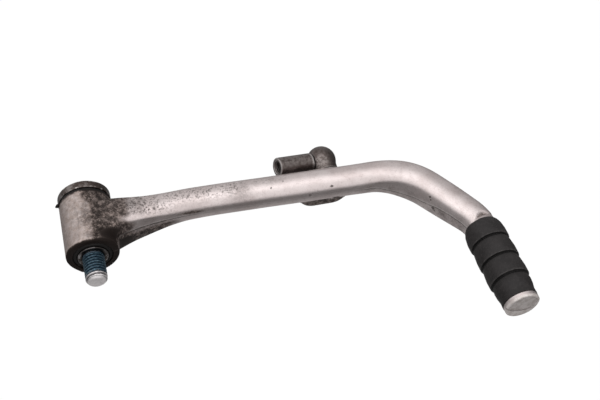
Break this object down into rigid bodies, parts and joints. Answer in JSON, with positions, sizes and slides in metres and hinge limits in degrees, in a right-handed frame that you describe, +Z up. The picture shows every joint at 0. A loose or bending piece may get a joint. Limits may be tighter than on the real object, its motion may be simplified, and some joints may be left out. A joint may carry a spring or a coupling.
{
  "type": "motorcycle gear shift lever",
  "caption": "Forged foot gear shift lever with a bearing hub and pivot bolt, a bent arm ending in a ribbed rubber toe peg, and a linkage ball joint on the arm.",
  "frame": {"origin": "on the pivot axis, at the sleeve face that seats on the engine", "axes": "+Y along the pivot from the seat face to the bolt head, +X along the arm from the pivot to the toe peg, +Z up"},
  "size_m": [0.205, 0.1153, 0.0263],
  "materials": {
    "bolt_steel": "dark worn steel, thread with blue locking coat",
    "sleeve_steel": "ground",
    "forged_aluminium": "satin, forged and worn",
    "bush_bronze": "plain bearing bronze",
    "seal_rubber": "matte",
    "peg_rubber": "matte moulded",
    "stud_steel": "hardened, oiled",
    "socket_steel": "dark phosphated, worn edges",
    "spring_steel": "bright wire"
  },
  "bodies": {
    "pivot": {"pivot_bolt": "bolt_steel", "bearing_sleeve": "sleeve_steel"},
    "lever": {"lever_body": "forged_aluminium", "bush_near": "bush_bronze", "bush_far": "bush_bronze", "seal_near": "seal_rubber", "seal_far": "seal_rubber", "toe_rubber": "peg_rubber", "ball_stud": "stud_steel"},
    "joint_ring": {"socket_seal": "seal_rubber"},
    "socket": {"ball_socket": "socket_steel", "socket_ring": "spring_steel"}
  },
  "joints": [
    {"name": "lever_pivot", "type": "hinge", "parent": "pivot", "child": "lever", "pos_m": [0, 0, 0], "axis": [0, 1, 0], "range_deg": [-15, 15]},
    {"name": "socket_swivel", "type": "hinge", "parent": "lever", "child": "joint_ring", "pos_m": [0.1185, 0.04, -0.0058], "axis": [0, 1, 0], "continuous": true},
    {"name": "socket_tilt", "type": "hinge", "parent": "joint_ring", "child": "socket", "pos_m": [0.1185, 0.04, -0.0058], "axis": [0.2419, 0, 0.9703], "range_deg": [-23, 2]}
  ]
}
